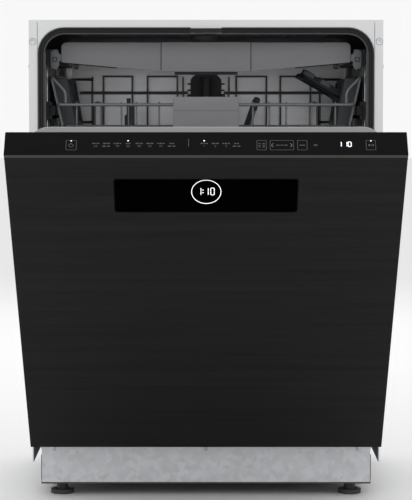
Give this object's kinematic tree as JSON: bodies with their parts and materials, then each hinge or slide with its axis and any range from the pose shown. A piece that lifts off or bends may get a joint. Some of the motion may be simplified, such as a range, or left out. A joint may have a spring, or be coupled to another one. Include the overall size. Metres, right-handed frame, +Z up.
{
  "type": "built in dishwasher",
  "caption": "Front-loading built-in dishwasher with a hinged door, steel tub, sliding cutlery tray and baskets, spray arms and levelling feet.",
  "frame": {"origin": "floor level, mid-width, in the plane of the tub's front flange", "axes": "+X to the right seen from the front, +Y to the rear, +Z up; the door rests 45 degrees open towards -Y"},
  "size_m": [0.5986, 1.0301, 0.818],
  "materials": {
    "tub_steel": "bright drawn stainless steel",
    "black_steel": "black finely brushed stainless steel",
    "black_glass_plastic": "gloss black control surface",
    "pocket_black": "gloss black moulding",
    "display_light": "dark window with a lit dial",
    "bronze_trim": "satin bronze anodised strip",
    "frame_white": "light grey painted sheet",
    "zinc_sheet": "galvanised sheet",
    "seal_rubber": "matt black rubber",
    "base_plastic": "dark grey moulded plastic",
    "white_plastic": "white moulded plastic",
    "grey_plastic": "grey moulded plastic",
    "tray_grey": "satin grey moulded plastic",
    "dark_plastic": "dark grey moulded plastic",
    "blue_grey_plastic": "blue grey moulded plastic",
    "coated_wire": "blue grey nylon coated wire",
    "plain_steel": "zinc plated steel",
    "cap_blue": "grey blue moulded plastic"
  },
  "bodies": {
    "cabinet": {"base_tray": "base_plastic", "kick_plate": "zinc_sheet", "tub": "tub_steel", "door_gasket": "seal_rubber", "front_frame": "frame_white", "side_panels": "zinc_sheet", "top_cover": "zinc_sheet", "rear_panel": "zinc_sheet", "hinge_brackets": "plain_steel", "balance_springs": "plain_steel", "sump": "base_plastic", "fine_filter": "plain_steel", "circulation_pump": "base_plastic", "drain_pump": "white_plastic", "water_softener": "white_plastic", "inlet_valve": "white_plastic", "power_inlet": "base_plastic", "rear_water_duct": "white_plastic", "ceiling_spray_head": "grey_plastic", "upper_feed_dock": "dark_plastic", "upper_rail_channels": "plain_steel", "tray_rails": "plain_steel", "latch_striker": "plain_steel"},
    "door": {"door_front_panel": "black_steel", "handle_pocket": "pocket_black", "pocket_display": "display_light", "accent_strip": "bronze_trim", "fascia": "black_glass_plastic", "door_liner": "tub_steel", "hinge_arms": "plain_steel", "control_board": "grey_plastic", "door_lock": "base_plastic", "dispenser_body": "tray_grey"},
    "cutlery_tray": {"tray_front": "tray_grey", "tray_frame": "tray_grey", "rail_end_caps": "tray_grey"},
    "upper_basket": {"upper_basket_wires": "coated_wire", "upper_basket_rims": "coated_wire", "upper_handle": "tray_grey", "height_adjusters": "dark_plastic", "upper_feed_pipe": "dark_plastic"},
    "lower_basket": {"lower_basket_wires": "coated_wire", "lower_basket_fittings": "dark_plastic"},
    "foot_front_left": {"foot_front_left": "base_plastic"},
    "foot_front_right": {"foot_front_right": "base_plastic"},
    "foot_rear_left": {"foot_rear_left": "base_plastic"},
    "foot_rear_right": {"foot_rear_right": "base_plastic"},
    "float_cap": {"float_cap": "grey_plastic"},
    "filter_cup": {"filter_cup": "grey_plastic"},
    "salt_cap": {"salt_cap": "cap_blue"},
    "lower_spray_arm": {"lower_spray_arm": "tray_grey"},
    "dispenser_lid": {"dispenser_lid": "grey_plastic"},
    "rinse_aid_cap": {"rinse_aid_cap": "cap_blue"},
    "upper_spray_arm": {"upper_spray_arm": "tray_grey"},
    "cup_shelf": {"cup_shelf": "blue_grey_plastic"},
    "upper_tines": {"upper_tines": "coated_wire"},
    "upper_rail_slides": {"upper_rail_slides": "plain_steel"},
    "lower_front_wheels": {"lower_front_wheels": "dark_plastic"},
    "lower_rear_wheels": {"lower_rear_wheels": "dark_plastic"},
    "lower_tines": {"lower_tines": "coated_wire"}
  },
  "joints": [
    {"name": "door_hinge", "type": "hinge", "parent": "cabinet", "child": "door", "pos_m": [0, -0.026, 0.1523], "axis": [1, 0, 0], "range_deg": [-45, 45]},
    {"name": "cutlery_tray_slide", "type": "slide", "parent": "cabinet", "child": "cutlery_tray", "axis": [0, -1, 0], "range_m": [0, 0.38]},
    {"name": "upper_basket_slide", "type": "slide", "parent": "cabinet", "child": "upper_basket", "axis": [0, -1, 0], "range_m": [0, 0.34]},
    {"name": "upper_rail_stage", "type": "slide", "parent": "cabinet", "child": "upper_rail_slides", "axis": [0, -1, 0], "range_m": [0, 0.17]},
    {"name": "lower_basket_slide", "type": "slide", "parent": "cabinet", "child": "lower_basket", "axis": [0, -1, 0], "range_m": [0, 0.03]},
    {"name": "lower_front_wheel_roll", "type": "hinge", "parent": "lower_basket", "child": "lower_front_wheels", "pos_m": [0, 0.085, 0.2293], "axis": [1, 0, 0], "range_deg": [-5, 106]},
    {"name": "lower_rear_wheel_roll", "type": "hinge", "parent": "lower_basket", "child": "lower_rear_wheels", "pos_m": [0, 0.415, 0.2293], "axis": [1, 0, 0], "range_deg": [-5, 106]},
    {"name": "lower_spray_arm_spin", "type": "hinge", "parent": "cabinet", "child": "lower_spray_arm", "pos_m": [0, 0.245, 0.211], "axis": [0, 0, 1], "continuous": true},
    {"name": "upper_spray_arm_spin", "type": "hinge", "parent": "upper_basket", "child": "upper_spray_arm", "pos_m": [0, 0.245, 0.55], "axis": [0, 0, 1], "continuous": true},
    {"name": "cup_shelf_fold", "type": "hinge", "parent": "upper_basket", "child": "cup_shelf", "pos_m": [0.2303, 0.22, 0.685], "axis": [0, 1, 0], "range_deg": [-28, 0]},
    {"name": "upper_tine_fold", "type": "hinge", "parent": "upper_basket", "child": "upper_tines", "pos_m": [-0.134, 0.245, 0.6073], "axis": [0, 1, 0], "range_deg": [0, 80]},
    {"name": "lower_tine_fold", "type": "hinge", "parent": "lower_basket", "child": "lower_tines", "pos_m": [0, 0.16871, 0.2533], "axis": [1, 0, 0], "range_deg": [0, 80]},
    {"name": "dispenser_lid_slide", "type": "slide", "parent": "door", "child": "dispenser_lid", "axis": [0, -0.7071, 0.7071], "range_m": [0, 0.065]},
    {"name": "rinse_cap_lift", "type": "hinge", "parent": "door", "child": "rinse_aid_cap", "pos_m": [0.12, -0.27412, 0.48782], "axis": [1, 0, 0], "range_deg": [0, 100]},
    {"name": "float_rise", "type": "slide", "parent": "cabinet", "child": "float_cap", "axis": [0, 0, 1], "range_m": [0, 0.01]},
    {"name": "filter_twist", "type": "hinge", "parent": "cabinet", "child": "filter_cup", "pos_m": [0.11, 0.345, 0.15], "axis": [0, 0, 1], "range_deg": [0, 90]},
    {"name": "salt_cap_turn", "type": "hinge", "parent": "cabinet", "child": "salt_cap", "pos_m": [0.185, 0.08, 0.195], "axis": [0, 0, 1], "range_deg": [0, 90]},
    {"name": "foot_front_left_screw", "type": "slide", "parent": "cabinet", "child": "foot_front_left", "axis": [0, 0, -1], "range_m": [0, 0.045]},
    {"name": "foot_front_right_screw", "type": "slide", "parent": "cabinet", "child": "foot_front_right", "axis": [0, 0, -1], "range_m": [0, 0.045]},
    {"name": "foot_rear_left_screw", "type": "slide", "parent": "cabinet", "child": "foot_rear_left", "axis": [0, 0, -1], "range_m": [0, 0.045]},
    {"name": "foot_rear_right_screw", "type": "slide", "parent": "cabinet", "child": "foot_rear_right", "axis": [0, 0, -1], "range_m": [0, 0.045]}
  ],
  "couplings": [
    {"joint": "upper_rail_stage", "follows": "upper_basket_slide", "ratio": 0.5},
    {"joint": "lower_front_wheel_roll", "follows": "lower_basket_slide", "rad_per_m": 58.824},
    {"joint": "lower_rear_wheel_roll", "follows": "lower_basket_slide", "rad_per_m": 58.824}
  ]
}
